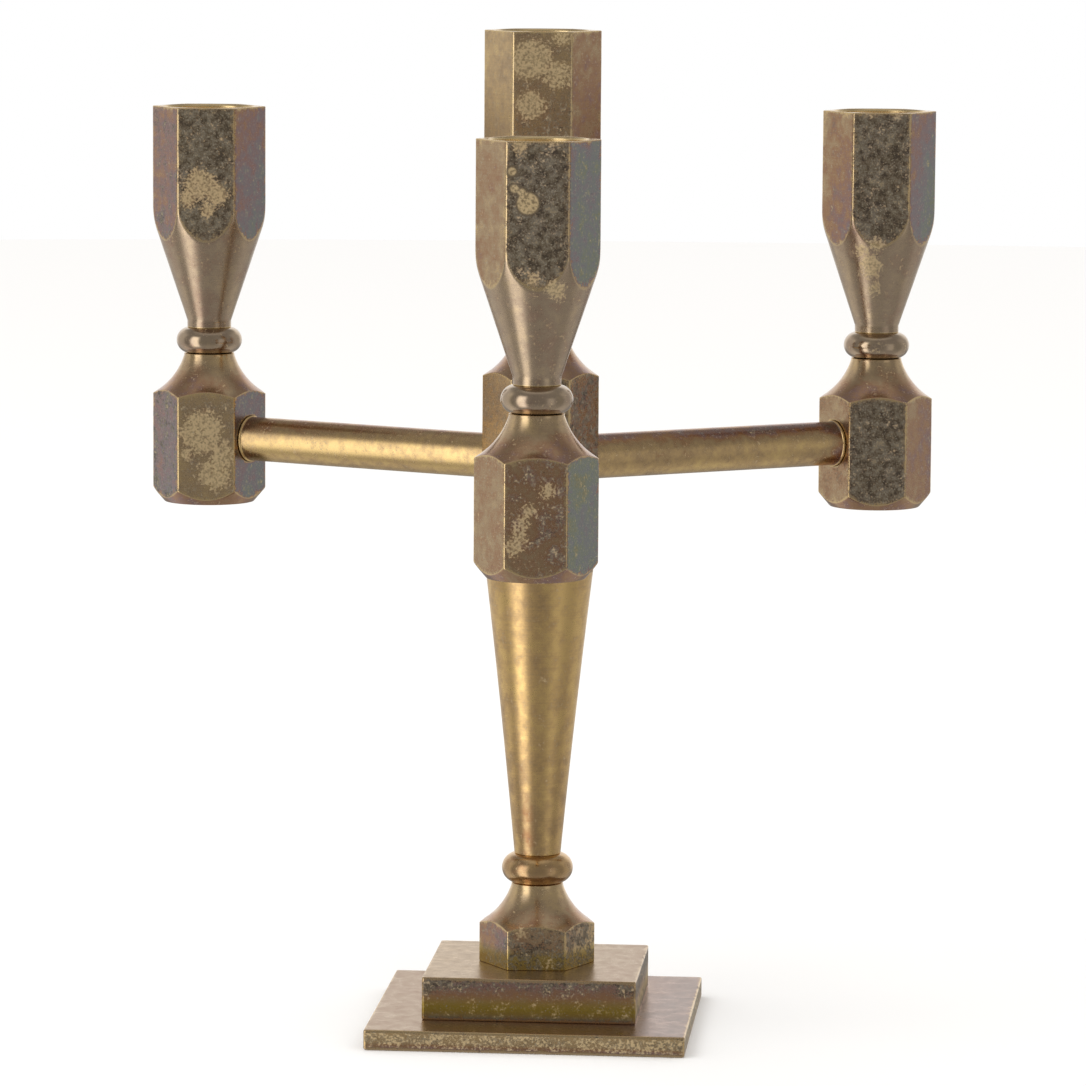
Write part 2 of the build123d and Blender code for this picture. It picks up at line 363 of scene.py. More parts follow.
def ageing_of(node, height, top, side, flat):
    """Film and patina for every point of a hexagonal piece, and how far it has lost its patina.

    The film drifts by sink from top to foot and a third of it from side to side. Patches of dry tan
    stain stop at the front flat's edges, but run on over the turned parts."""
    cover, film, sink = np.array(AGEING[node], float)[HEX_FACE].T
    film = film + sink * (1 - height / top) + sink * SIDEWAYS * HEX_TURN / HALF_FLAT
    patches = drop_distance(side * np.sin(FROM_FRONT), height, PATCHES.get(node, []))
    open_to_it = np.where(HEX_FACE == 0, 1.0, 1 - flat) * (np.cos(FROM_FRONT) > 0)
    bare = smooth_step(*PATCH_FADE, patches) * open_to_it
    return film, cover - PATCH_SHARE * bare, bare


def drops_on(node, height, across):
    """Distance to the nearest drop for every point of a hexagonal piece; only the front flat has drops."""
    return np.where(HEX_FACE == 0, drop_distance(across, height, DROPS.get(node, [])), NO_DROP)


def edge_distance(flat, across, *others):
    """Distance in millimetres to the nearest worn edge: a flat's two long edges or any of the others."""
    nearest = FLAT_REACH - np.abs(across)
    for other in others:
        nearest = np.minimum(nearest, np.abs(other))
    return np.where(flat > 0.02, nearest, NO_EDGE)


print("flats with dark patina:", {node: sum(row[0] >= 0.8 for row in rows) for node, rows in AGEING.items()})

# %% [markdown]
# ## Rows in blocks
# Cups and blocks are built alike: plain turned rows underneath and inside, worked rows up the side and
# plain ones again on top. So a hexagonal piece is a stack of blocks of rows, and each number that the
# finish needs is said once for a whole block or worked out point by point. Bar is never quite even, and
# its long edges are worn a little more in one place than in another.

# %% Blocks of rows
EDGE_WANDER = 0.14


def worn_bar(height, seed):
    """The bar's outside at every row, with an edge rounding that wanders by a slow ripple."""
    worn = HEX_EDGE_ROUND + EDGE_WANDER * ripple(HEX_ANGLES, 0.6 * height, seed)
    return bar_radius(HEX_ANGLES, HEX_APOTHEM, HEX_SIDES, worn)


def stacked_mesh(name, place, foot, blocks, **attributes):
    """A hexagonal piece from blocks of (radius, height above its foot), with one value a block for each
    attribute."""
    sizes = [radius.shape[0] for radius, _ in blocks]

    def rows(values):
        """One number or array for each block, as rows that match the blocks."""
        shapes = [(size, len(HEX_ANGLES)) for size in sizes]
        return np.vstack([np.broadcast_to(value, shape) for value, shape in zip(values, shapes)])

    radius, height = [rows(values) for values in zip(*blocks)]
    attributes = {key: rows(values) for key, values in attributes.items()}
    return grid_mesh(name, place, HEX_ANGLES, radius, foot + height, **attributes)


worn_edge = worn_bar(np.zeros((1, 1)), 0.0).max().round(2)
print("an even bar's edge is", EVEN_BAR.max().round(2), "mm from its axis, a worn one's up to", worn_edge)

# %% [markdown]
# ## Candle cups
# A cup is a length of the bar whose lower half was turned to a slender cone. The cone blends into the bar's
# corners by a large radius, and where it meets a flat it leaves a rounded U. From above it is bored for
# a candle; from below it is drilled and tapped for its stud.

# %% The turned side of a cup
CUP_FOOT_R, CUP_FOOT_H, CUP_BLEND = 6.0, 1.9, 24.0
CUP_CORNER_H = 30.4
CANDLE_R, CANDLE_DEPTH, MOUTH_CHAMFER = 12.3, 22.0, 0.5
THREAD_HOLE_R, THREAD_HOLE_H = 3.05, 11.5
RIM_ROUND = 0.3


def cup_side(z):
    """The lathe's radius at height z above a cup's foot.

    A short cylinder, then a straight cone to the bar's corners; a circle that touches both the cone
    and the upright rounds the meeting; above it the radius is the corner's."""
    slope = (HEX_CORNER - CUP_FOOT_R) / (CUP_CORNER_H - CUP_FOOT_H)
    lean = math.atan(slope)
    reach = CUP_BLEND * math.tan(lean / 2)
    start, end = CUP_CORNER_H - reach * math.cos(lean), CUP_CORNER_H + reach
    cone = CUP_FOOT_R + slope * (z - CUP_FOOT_H)
    arc = HEX_CORNER - CUP_BLEND + np.sqrt(np.maximum(CUP_BLEND**2 - (np.clip(z, start, end) - end) ** 2, 0))
    return np.where(z < CUP_FOOT_H, CUP_FOOT_R, np.where(z < start, cone, np.where(z < end, arc, HEX_CORNER)))


sample = np.linspace(0, 60, 7)
print("cup radius going up:", dict(zip(sample.tolist(), cup_side(sample).round(2).tolist())))


# %% [markdown]
# A cup's rows run from the roof of the tapped hole down and out over the foot, up the side, over the rim
# and down the candle's bore to its floor. Rows stand close together where cone and flats meet, so that
# the rounded U is smooth.

# %% A whole cup
THREAD_FLARE_R, THREAD_FLARE_H = 0.5, 0.55
FOOT_LIP, MOUTH_LIP = 0.3, 0.3
CREASE_BELOW, CREASE_ABOVE = 2.2, 1.8
CUP_FILM, CUP_COVER = 0.30, 0.10
FULL_EDGE, RIM_EDGE = 6, 0.02


def candle_cup(name, node, seed):
    """Inside of the tapped hole, underside, turned and hexagonal side, rim, candle bore and its floor."""
    low, high = box_mm(node)
    place, foot, top = (low + high) / 2, low[2], high[2] - low[2]
    trial = np.linspace(CUP_FOOT_H, CUP_CORNER_H + 8, 400)
    crease = np.interp(EVEN_BAR, cup_side(trial), trial)
    knots = [FOOT_LIP, CUP_FOOT_H, crease - CREASE_BELOW, crease + CREASE_ABOVE, top - RIM_ROUND]
    z = heights_between(knots, [3, 40, 16, 60])
    turned, bar = cup_side(z), worn_bar(z, seed)
    side = soft_min(turned, bar, 0.35)
    across = side * np.sin(HEX_TURN)
    flat = smooth_step(-0.1, 0.25, turned - bar)
    edge = edge_distance(flat, across, 0.55 * (z - crease), top - z)
    film, cover, bare = ageing_of(node, z, top, side, flat)
    film = flat * film + (1 - flat) * (CUP_FILM + 0.10 * ripple(HEX_ANGLES, 0.2 * z, seed + 1))
    hole = [(0, THREAD_HOLE_H), (THREAD_HOLE_R, THREAD_HOLE_H), (THREAD_HOLE_R, THREAD_FLARE_H)]
    hole += [(THREAD_HOLE_R + THREAD_FLARE_R, 0), (CUP_FOOT_R, 0), (CUP_FOOT_R, FOOT_LIP)]
    turn = np.linspace(0, math.pi / 2, 7)[1:, None]
    rim_r, rim_z = bar[-1] - RIM_ROUND * (1 - np.cos(turn)), top - RIM_ROUND * (1 - np.sin(turn))
    mouth, bottom = CANDLE_R + MOUTH_CHAMFER, top - CANDLE_DEPTH
    bore = [(mouth + MOUTH_LIP, top), (mouth, top), (CANDLE_R, top - MOUTH_CHAMFER)]
    bore = rounded(bore + [(CANDLE_R, bottom), (0, bottom)], 0.2)[1:]
    bore = np.vstack([bore[:-2], np.linspace(bore[-2], bore[-1], 8)])
    down = top - bore[:, 1:]
    columns = len(HEX_ANGLES)
    return stacked_mesh(
        name,
        place,
        foot,
        [all_round(rounded(hole)[:-1], columns), (side, z), (rim_r, rim_z), all_round(bore, columns)],
        flat=[0, flat, flat[-1], 0],
        edge=[FULL_EDGE, edge, RIM_EDGE, np.clip(down, 0, FULL_EDGE)],
        film=[0.1, film, film[-1], 0.0],
        cover=[0, flat * cover + (1 - flat) * CUP_COVER, 0, 0],
        drops=[NO_DROP, drops_on(node, z, across), NO_DROP, NO_DROP],
        bare=[0, bare, 0, 0],
        inside=[1, 0, 0, smooth_step(0.0, 0.6, down)],
    )


sample = np.linspace(CUP_FOOT_H, CUP_CORNER_H, 400)
flats_from = np.interp(HEX_APOTHEM, cup_side(sample), sample)
print("the middle of a cup's flat starts", round(float(flats_from), 1), "mm above its foot")

# %% [markdown]
# ## Hexagonal blocks
# The holders, the hub and the foot are one idea at three lengths. A form tool swept a concave flare up
# to a narrow neck. The bar's lower end is chamfered on the blocks that hang free and square on the
# foot. Each arm rod's bore is cut through a flat, with a small chamfer that shows as a bright ring.

# %% The turned side of a block
FLARE_R, NECK_R, NECK_H = 18.4, 6.9, 0.5
FLARE_TOP, FLARE_BOTTOM = math.radians(17), math.radians(61)
CHAMFER_R, CHAMFER_H = 12.4, 3.8
ROD_R, ROD_SINK, BORE_CHAMFER = 6.0, 7.0, 0.4
STUD_R, STUD_SINK = 3.0, 12.0
HUB_STUD_R, HUB_STUD_REACH = 4.0, 12.0
NO_HOLE, STUD_HOLE = (0, 0), (STUD_R, STUD_SINK + 0.5)
FLARE_FAR = NECK_R + FLARE_R * (math.cos(FLARE_TOP) - math.cos(FLARE_BOTTOM))


def block_side(z, top, chamfered):
    """The lathe's radius at height z above a block's underside.

    From below it is the chamfer's cone, if there is one. From above it is the neck, then the circle of
    the flare: its centre's radius less the root of the flare's radius squared less the height from
    the centre squared. The smaller of the two counts."""
    centre_r = NECK_R + FLARE_R * math.cos(FLARE_TOP)
    centre_z = top - NECK_H + FLARE_R * math.sin(FLARE_TOP)
    drop = np.clip(centre_z - z, FLARE_R * math.sin(FLARE_TOP), FLARE_R * math.sin(FLARE_BOTTOM))
    flare = centre_r - np.sqrt(FLARE_R**2 - drop**2)
    steep = np.maximum(centre_z - z - FLARE_R * math.sin(FLARE_BOTTOM), 0) * math.tan(FLARE_BOTTOM)
    chamfer = CHAMFER_R + (FLARE_FAR - CHAMFER_R) * z / CHAMFER_H if chamfered else 99.0
    return np.minimum(flare + steep, chamfer)


sample = np.linspace(0, 40.9, 8)
radii = block_side(sample, 40.9, True)
print("holder radius going up:", dict(zip(sample.round(1).tolist(), radii.round(2).tolist())))

# %% [markdown]
# A block's rows start at the hole below, or at a small disc where there is none. They cross the underside and
# go up the side to the neck, and end in the hole for the stud above. The film is thinner on the flare near
# its neck, a painted highlight that lightens the neck.

# %% A whole block
HOLE_CHAMFER = 0.3
FIRST_ROW, LAST_ROW = 0.15, 0.12
PLAIN_FOOT_H = 0.9
STAIN_TOP, STAIN_FULL = 6.4, 3.0
BLOCK_COVER = 0.08


def hexagonal_block(name, node, chamfered, hole_below, hole_above, seed, turned_film=0.46, stained=0.0):
    """Underside, chamfer, flats, flare, neck and the holes for studs.

    A hole is (radius, depth). turned_film is the flare's film, and stained is how strong the olive stain
    is that creeps up the flats from the underside."""
    low, high = box_mm(node)
    place, foot, top = (low + high) / 2, low[2], high[2] - low[2]
    trial = np.linspace(top * 0.4, top - NECK_H, 600)
    crease = np.interp(-EVEN_BAR, -block_side(trial, top, False), trial)
    first = np.full(len(EVEN_BAR), PLAIN_FOOT_H)
    if chamfered:
        first = CHAMFER_H * (EVEN_BAR - CHAMFER_R) / (FLARE_FAR - CHAMFER_R)
    knots = [FIRST_ROW, first - 0.5, first + 0.5, crease - 0.6, crease + 0.6, top - NECK_H, top - LAST_ROW]
    z = heights_between(knots, [4, 12, 34, 18, 30, 4])
    turned, bar = block_side(z, top, chamfered), worn_bar(z, seed)
    side = soft_min(turned, bar, 0.30)
    across = side * np.sin(HEX_TURN)
    flat = smooth_step(-0.1, 0.3, turned - bar)
    edge = edge_distance(flat, across, z - crease, 0.8 * (z - first if chamfered else z))
    film, cover, bare = ageing_of(node, z, top, side, flat)
    # Painted highlight: the flare's film thins towards the neck, so the neck shows lighter.
    neck_highlight = smooth_step(crease, crease + 0.4, z) * smooth_step(top - 8, top - 1, z)
    turned_film = turned_film + 0.08 * ripple(HEX_ANGLES, 0.2 * z, seed + 1) - 0.24 * neck_highlight
    (r_low, deep_low), (r_high, deep_high) = hole_below, hole_above
    start = np.array([(0.0, 0.0), (1.0, 0.0)])
    if r_low:
        start = [(0, deep_low), (r_low, deep_low), (r_low, HOLE_CHAMFER), (r_low + HOLE_CHAMFER, 0)]
        start = rounded(start, 0.1)
    outer = CHAMFER_R - 0.05 if chamfered else side[0] - 0.15
    under = start[-1, 0] + (outer - start[-1, 0]) * np.linspace(0, 1, 8)[1:, None]
    end = [(NECK_R - LAST_ROW, top), (r_high + HOLE_CHAMFER, top), (r_high, top - HOLE_CHAMFER)]
    end = rounded(end + [(r_high, top - deep_high), (0, top - deep_high)], 0.1)
    columns = len(HEX_ANGLES)
    return stacked_mesh(
        name,
        place,
        foot,
        [all_round(start, columns), (under, 0), (side, z), all_round(end, columns)],
        flat=[0, 0, flat, 0],
        edge=[FULL_EDGE, 4, edge, 3],
        film=[0.1, 0.45, flat * film + (1 - flat) * turned_film, 0.3],
        cover=[0, 0.3, flat * cover + (1 - flat) * BLOCK_COVER, 0],
        drops=[NO_DROP, NO_DROP, drops_on(node, z, across), NO_DROP],
        bare=[0, 0, bare, 0],
        olive=[0, 0, stained * flat * smooth_step(STAIN_TOP, STAIN_FULL, z), 0],
        inside=[1, 0, 0, 0.6],
    )


print("a block's neck is", 2 * NECK_R, "mm across, and its stud's hole", 2 * STUD_R, "mm")

# %% [markdown]
# A rod's bore is cut from the finished block by a solid cutter that lies along the arm. The arms' angles
# and lengths are read from the cups' hinges, and the rods' height from a rod's own box.

# %% Cut the arm bores
BORE_SLACK, BORE_COLUMNS = 0.02, 96


def along_arm(angle, distance):
    """Lays the Z axis along an arm that leaves the stem at angle, starting at distance, in metres."""
    start = Vector((distance * math.cos(angle), distance * math.sin(angle), ROD_HEIGHT)) * MM
    direction = Vector((math.cos(angle), math.sin(angle), 0))
    return Matrix.Translation(start) @ direction.to_track_quat("Z", "Y").to_matrix().to_4x4()


def cut_away(piece, cutter):
    """Takes the cutter's shape out of the piece for good.

    New points have zero in every attribute, so the finish sees the bore's mouth as a worn edge and
    leaves it bright."""
    modifier = piece.modifiers.new("bore", "BOOLEAN")
    modifier.object, modifier.operation, modifier.solver = cutter, "DIFFERENCE", "EXACT"
    bpy.context.view_layer.update()
    mesh = bpy.data.meshes.new_from_object(piece.evaluated_get(bpy.context.evaluated_depsgraph_get()))
    piece.modifiers.clear()
    piece.data = mesh
    mesh.set_sharp_from_angle(angle=math.radians(32))
    bpy.data.objects.remove(cutter)


def bore_cutter(angle, mouth, inward):
    """A rod's bore with its chamfer, from the mouth's distance inwards along the arm."""
    r = ROD_R + BORE_SLACK
    outline = [(0, -ROD_SINK), (r, -ROD_SINK), (r, -BORE_CHAMFER), (r + BORE_CHAMFER + 1, 1), (0, 1)]
    cutter = grid_mesh("cutter", (0, 0), full_turn(BORE_COLUMNS), *all_round(outline, BORE_COLUMNS))
    lay = along_arm(angle, mouth)
    cutter.data.transform(lay if inward else lay @ Matrix.Rotation(math.pi, 4, "X"))
    return cutter


ARMS = {}
for joint in frame["joints"]:
    if joint["type"] == "hinge" and "center" not in joint["name"]:
        x, y, _ = joint["pos_m"]
        ARMS[joint["name"].split("_")[0]] = (math.atan2(y, x), math.hypot(x, y) / MM)
low, high = box_mm("arm_rod_front")
ROD_HEIGHT = float(low[2] + high[2]) / 2
for side, (angle, reach) in ARMS.items():
    print(side, "arm:", round(math.degrees(angle)), "degrees round,", round(reach, 1), "mm to the cup's axis")
print("the rods' axes are", round(ROD_HEIGHT, 2), "mm above the ground")

# %% [markdown]
# ## Round pieces
# The stem, the beads and the rods never had flats. A bead is a half circle carried round, the stem
# is a cone with a slight waist, and a rod is drawn bar. Real bar is never quite true, so the rods and the
# stem wander by a hundredth of a millimetre, which is enough to make a long highlight look real.

# %% Beads and stem
BEAD_COLUMNS, STEM_COLUMNS = 128, 160
DRAWN_WANDER = 0.006
SCREW_R, SCREW_DEPTH, HUB_STUD_DEPTH = 3.0, 17.5, 13.5
STEM_FOOT_R, STEM_WAIST_R, STEM_TOP_R = 6.2, 10.05, 14.4
STEM_LIP, STEM_CHAMFER = 0.25, 0.6


def bead_ring(name, node, hole):
    """Hole wall, then a half circle whose middle is at the bead's greatest radius, closed into a ring."""
    low, high = box_mm(node)
    place, tall = (low + high) / 2, high[2] - low[2]
    outer, half = (high[0] - low[0]) / 2, tall / 2
    turn = np.linspace(-math.pi / 2, math.pi / 2, 33)
    ball = np.stack([outer - half + half * np.cos(turn), half + half * np.sin(turn)], axis=-1)
    wall = rounded([(outer - half, tall), (hole, tall), (hole, 0), (outer - half, 0)], 0.2)[1:-1]
    radius, height = all_round(np.vstack([ball, wall]), BEAD_COLUMNS)
    angle = full_turn(BEAD_COLUMNS)
    finish = dict(
        film=0.27 + 0.07 * ripple(angle, height, low[0]),
        edge=2.5,
        cover=0.10 * smooth_step(1.6, 0, np.minimum(height, tall - height)),
        drops=NO_DROP,
    )
    return grid_mesh(name, place, angle, radius, low[2] + height, closed_ring=True, **finish)


def stem_radius(share):
    """The quadratic in share of the height through three radii: at the foot, half-way up and at the top."""
    foot = STEM_FOOT_R * (1 - share) * (1 - 2 * share)
    waist = 4 * STEM_WAIST_R * share * (1 - share)
    return foot + waist + STEM_TOP_R * share * (2 * share - 1)


def tapering_stem(name, node):
    """Tapped hole for the base screw, the tapering side, a small chamfer and the hub stud's hole."""
    low, high = box_mm(node)
    tall = high[2] - low[2]
    shoulder, stud_floor = tall - STEM_CHAMFER, tall - HUB_STUD_DEPTH
    side_z = np.linspace(STEM_LIP, shoulder, 150)
    side = np.stack([stem_radius(side_z / shoulder), side_z], axis=-1)
    below = [(0, SCREW_DEPTH), (SCREW_R, SCREW_DEPTH), (SCREW_R, 0)]
    below += [(STEM_FOOT_R, 0), (STEM_FOOT_R, STEM_LIP)]
    above = [(STEM_TOP_R, shoulder - 0.02), (STEM_TOP_R, shoulder), (STEM_TOP_R - STEM_CHAMFER, tall)]
    above += [(HUB_STUD_R, tall), (HUB_STUD_R, stud_floor), (0, stud_floor)]
    outline = np.vstack([rounded(below)[:-1], side, rounded(above, 0.12)[2:]])
    angle = full_turn(STEM_COLUMNS)
    radius, height = all_round(outline, STEM_COLUMNS)
    radius = radius - DRAWN_WANDER * (1 + ripple(angle, 0.12 * height, 3.0)) * (radius > 5)
    finish = dict(
        film=0.12 + 0.12 * ripple(angle, 0.10 * height, 5.0) + 0.10 * smooth_step(30, 0, height),
        edge=np.clip(np.minimum(height, tall - height), 0, FULL_EDGE),
        cover=0.10,
        drops=NO_DROP,
    )
    return grid_mesh(name, (0, 0), angle, radius, low[2] + height, **finish)


print("stem radius at foot, half-way and top:", [round(stem_radius(share), 2) for share in (0, 0.5, 1)])

# %% [markdown]
# A rod lies along its arm, 7 mm deep in a block at both ends. Its film is thicker on the upper side, partly
# tarnish and partly painted shade that darkens the rod's top, and each rod has aged in its own way.

# %% Arm rods
ROD_COLUMNS, ROD_CHAMFER = 112, 0.8
COLLAR_TALL, COLLAR_HALF = 0.35, 0.42
ROD_FILMS = {
    # how much thinner the rod's film is, and how much thicker it gets close to the holder; the left rod's
    # thinner film is partly a painted highlight that brightens it
    "front": (0.0, 0.05),
    "right": (0.0, 0.30),
    "left": (0.12, 0.05),
}


def arm_rod(name, side, seed):
    """A cylinder along the arm between its two bores, with chamfered ends and a fine raised ring.

    The press left the ring just outside the holder; its swell is half an ellipse."""
    angle, reach = ARMS[side]
    thinner, thicker = ROD_FILMS[side]
    start, end = HEX_APOTHEM - ROD_SINK, reach - HEX_APOTHEM + ROD_SINK
    long = end - start
    mouth = long - ROD_SINK
    ring_at = mouth - COLLAR_HALF
    fine = np.linspace(ring_at - COLLAR_HALF, ring_at + COLLAR_HALF, 13)
    plain = np.linspace(ROD_CHAMFER, ring_at - 0.6, 108)
    steps = np.concatenate([plain, fine, [long - ROD_CHAMFER]])
    swell = COLLAR_TALL * np.sqrt(np.maximum(1 - ((steps - ring_at) / COLLAR_HALF) ** 2, 0))
    long_side = np.stack([ROD_R + swell, steps], axis=-1)
    end_r = ROD_R - ROD_CHAMFER
    outline = np.vstack([[(0, 0), (end_r, 0)], long_side, [(end_r, long), (0, long)]])
    around = full_turn(ROD_COLUMNS)
    radius, height = all_round(outline, ROD_COLUMNS)
    radius = radius - DRAWN_WANDER * (1 + ripple(around, 0.10 * height, seed)) * (radius > 5.9)
    # The upper side's thicker film is partly tarnish and partly painted shade: it darkens the rod's top.
    film = 0.20 + 0.12 * ripple(around, 0.12 * height, seed) + 0.32 * smooth_step(0.15, 0.9, np.sin(around))
    film = film - thinner + thicker * smooth_step(mouth - 7, mouth, height)
    edge = np.minimum(height - ROD_SINK, mouth - height) + 0.5
    edge = np.clip(np.where(np.abs(height - ring_at) < COLLAR_HALF, -0.6, edge), -1, FULL_EDGE)
    rod = grid_mesh(name, (0, 0), around, radius, height, film=film, edge=edge, cover=0.15, drops=NO_DROP)
    rod.data.transform(along_arm(angle, start))
    return rod


bare_length = ARMS["front"][1] - 2 * HEX_APOTHEM
print("between its blocks a rod shows", round(bare_length, 1), "mm of its length")

# %% [markdown]
# ## The stepped base
# Both plates are sawn and milled flat stock, stacked and held by one screw from below. They are a little
# less deep than wide, so each is made as a square bar whose far and near sides are then drawn in. The
# clamped pair sits a few degrees round from the arms. The sides carry bands of interference colour.

# %% Nearly square plates
BASE_TURN = math.radians(-4.3)
PLATE_ROUND, PLATE_EDGE = 0.7, 0.45
SCREW_HOLE_R, SINK_R = 3.3, 6.4
NO_DUST = -0.8


def plate_sides(node):
    """Half the width and half the depth of a plate before it was turned, from the box around it.

    The box is width times cosine plus depth times sine one way, and the reverse the other way."""
    low, high = box_mm(node)
    wide, deep = high[:2] - low[:2]
    c, s = math.cos(BASE_TURN), abs(math.sin(BASE_TURN))
    return (c * wide - s * deep) / (c * c - s * s) / 2, (c * deep - s * wide) / (c * c - s * s) / 2


def base_plate(name, node, countersunk, bands, top_film_and_shade, stained, dusty):
    """Hole wall, underside, rounded lower edge, side, rounded upper edge and top, closed through the hole.

    bands lists (share of the height, film, patina) from the side's foot to its top. top_film_and_shade is the
    top's film at its middle and how much thicker it gets towards the right, which is painted shade that
    darkens the top to the right. stained is how strong the side's olive stain is, and dusty how much dry tan
    stain lies on the side."""
    low, high = box_mm(node)
    tall = high[2] - low[2]
    apothem, half_depth = plate_sides(node)
    angle = bar_angles(apothem, SQUARE_SIDES, PLATE_ROUND, 56)
    bar = bar_radius(angle, apothem, SQUARE_SIDES, PLATE_ROUND)[None, :]
    turn = np.linspace(0, math.pi / 2, 6)[:, None]
    lower_r, lower_z = bar - PLATE_EDGE * (1 - np.sin(turn)), PLATE_EDGE * (1 - np.cos(turn)) + 0 * bar
    upper_r = bar - PLATE_EDGE * (1 - np.cos(turn))
    upper_z = tall - PLATE_EDGE * (1 - np.sin(turn)) + 0 * bar
    side_z = np.linspace(PLATE_EDGE, tall - PLATE_EDGE, 14)[1:-1, None] + 0 * bar
    mouth = SINK_R if countersunk else SCREW_HOLE_R
    share = (np.linspace(0, 1, 26)[1:-1, None]) ** 0.8
    under_r = mouth + (bar - PLATE_EDGE - mouth) * share
    top_r = SCREW_HOLE_R + (bar - PLATE_EDGE - SCREW_HOLE_R) * share[::-1]
    wall = [(SCREW_HOLE_R, tall), (SCREW_HOLE_R, mouth - SCREW_HOLE_R)]
    wall_r, wall_z = all_round(wall + [(mouth, 0)] * countersunk, len(angle))
    radius = np.vstack([wall_r, under_r, lower_r, bar + 0 * side_z, upper_r, top_r])
    height = np.vstack([wall_z, 0 * under_r, lower_z, side_z, upper_z, tall + 0 * top_r])
    turned = (angle - FACE_ANGLE + math.pi / 4) % (math.pi / 2) - math.pi / 4
    along = radius * np.sin(turned)
    on_side = (radius > bar - 0.05) & (height > PLATE_EDGE) & (height < tall - PLATE_EDGE)
    on_top = height > tall - 0.01
    edge = np.minimum(apothem - np.abs(along), np.minimum(height, tall - height))
    edge = np.where(on_side, edge, np.where(on_top, apothem - radius * np.cos(turned), 0.0))
    drawn_in = 1 + (half_depth / apothem - 1) * smooth_step(mouth, mouth + 8, radius)
    x, y = radius * np.cos(angle), radius * np.sin(angle) * drawn_in
    shares, films, patinas = zip(*bands)
    share_up = height / tall
    even, thicker = top_film_and_shade
    # Painted shade: the top's film thickens towards the right, so the top darkens to the right.
    film = np.where(on_top, even + thicker * smooth_step(0, apothem, x), np.interp(share_up, shares, films))
    olive = smooth_step(0.62, 0.30, share_up) * (1 - 0.55 * smooth_step(0.24, 0.06, share_up))
    to_the_side = smooth_step(0.6, 0.8, np.abs(np.cos(angle)))
    cover = np.where(on_top, 0.05, np.interp(share_up, shares, patinas) + 0.35 * to_the_side)
    return grid_mesh(
        name,
        (0, 0),
        np.arctan2(y, x) + BASE_TURN,
        np.hypot(x, y),
        low[2] + height,
        closed_ring=True,
        flat=np.where(on_side, 1.0, 0.0),
        olive=np.where(on_side, stained * olive, 0.0),
        bare=np.where(on_side, dusty, NO_DUST),
        edge=np.clip(edge, 0, FULL_EDGE),
        film=film,
        cover=cover,
        drops=NO_DROP,
    )


sides = {node: np.round(plate_sides(node), 2).tolist() for node in ("lower_base_plate", "upper_base_plate")}
print("half width and half depth of the plates:", sides)


# %% [markdown]
# ## Threads
# The cups unscrew, so their studs show a real thread. Its depth follows a cosine of the height in turns
# less the angle in turns, which is what makes it climb. At both ends it runs out into a chamfer.

# %% Studs and the base screw
THREAD_DEPTH, THREAD_END = 0.61, 0.6
FINE_PITCH, HUB_PITCH = 1.0, 1.25
THREAD_ROWS, STUD_COLUMNS, SCREW_COLUMNS = 12, 40, 48
THREADED_PART = 22
SLOT_LONG, SLOT_WIDE, SLOT_DEEP = 10, 0.8, 1.5


def thread_radius(angle, height, low, high, outer, pitch):
    """The outer radius less the thread's depth times half of one less the cosine of the climbing phase."""
    phase = 2 * math.pi * height / pitch - angle
    from_end = np.minimum(height - low, high - height)
    fade = smooth_step(0, 1.2 * pitch, from_end)
    groove = THREAD_DEPTH * pitch * fade * (0.5 - 0.5 * np.cos(phase))
    return outer - groove - np.clip(THREAD_END - from_end, 0, THREAD_END)


def threaded_stud(name, node, pitch):
    """A stud from one chamfered end to the other, twelve rows to each turn of its thread."""
    low, high = box_mm(node)
    place, outer = (low + high) / 2, (high[0] - low[0]) / 2
    angle = full_turn(STUD_COLUMNS)
    height = np.append(np.arange(low[2], high[2], pitch / THREAD_ROWS), high[2])[:, None]
    radius = thread_radius(angle, height, low[2], high[2], outer, pitch)
    ends = np.zeros((1, STUD_COLUMNS))
    radius = np.vstack([ends, radius, ends])
    height = np.vstack([height[:1], height, height[-1:]])
    return grid_mesh(name, place, angle, radius, height, edge=3)


def base_screw(name, node):
    """A countersunk head, a plain shank and a threaded end, with a slot cut across the head."""
    low, high = box_mm(node)
    head_r = (high[0] - low[0]) / 2
    neck = low[2] + head_r - SCREW_R
    thread_start = high[2] - THREADED_PART
    angle = full_turn(SCREW_COLUMNS)
    height = np.arange(thread_start, high[2], FINE_PITCH / THREAD_ROWS)[:, None]
    radius = thread_radius(angle, height, thread_start, high[2], SCREW_R, FINE_PITCH)
    head = rounded([(0, low[2]), (head_r, low[2]), (SCREW_R, neck), (SCREW_R, thread_start - 0.1)], 0.2)
    head_rows, head_z = all_round(head, SCREW_COLUMNS)
    radius = np.vstack([head_rows, radius, np.zeros((1, SCREW_COLUMNS))])
    height = np.vstack([head_z, height + 0 * angle, np.full((1, SCREW_COLUMNS), high[2])])
    screw = grid_mesh(name, (0, 0), angle, radius, height, edge=3)
    ends = (-SLOT_LONG, SLOT_LONG), (-SLOT_WIDE, SLOT_WIDE), (low[2] - 1, low[2] + SLOT_DEEP)
    corners = np.array([(x, y, z) for x in ends[0] for y in ends[1] for z in ends[2]]) * MM
    quads = [(0, 1, 3, 2), (4, 6, 7, 5), (0, 4, 5, 1), (2, 3, 7, 6), (0, 2, 6, 4), (1, 5, 7, 3)]
    slot = bpy.data.meshes.new("slot")
    slot.from_pydata(corners.tolist(), [], quads)
    cutter = bpy.data.objects.new("slot", slot)
    bpy.context.scene.collection.objects.link(cutter)
    cut_away(screw, cutter)
    return screw


for pitch in (FINE_PITCH, HUB_PITCH):
    print("a thread of", pitch, "mm pitch is", round(THREAD_DEPTH * pitch, 2), "mm deep")

# %% [markdown]
# ## Shader maths in plain Python
# A node tree reads best as sums and products. A Wire holds one socket, and arithmetic on it adds Math
# nodes. A Finish holds one material, and its one method makes any other node: settings first, then values.

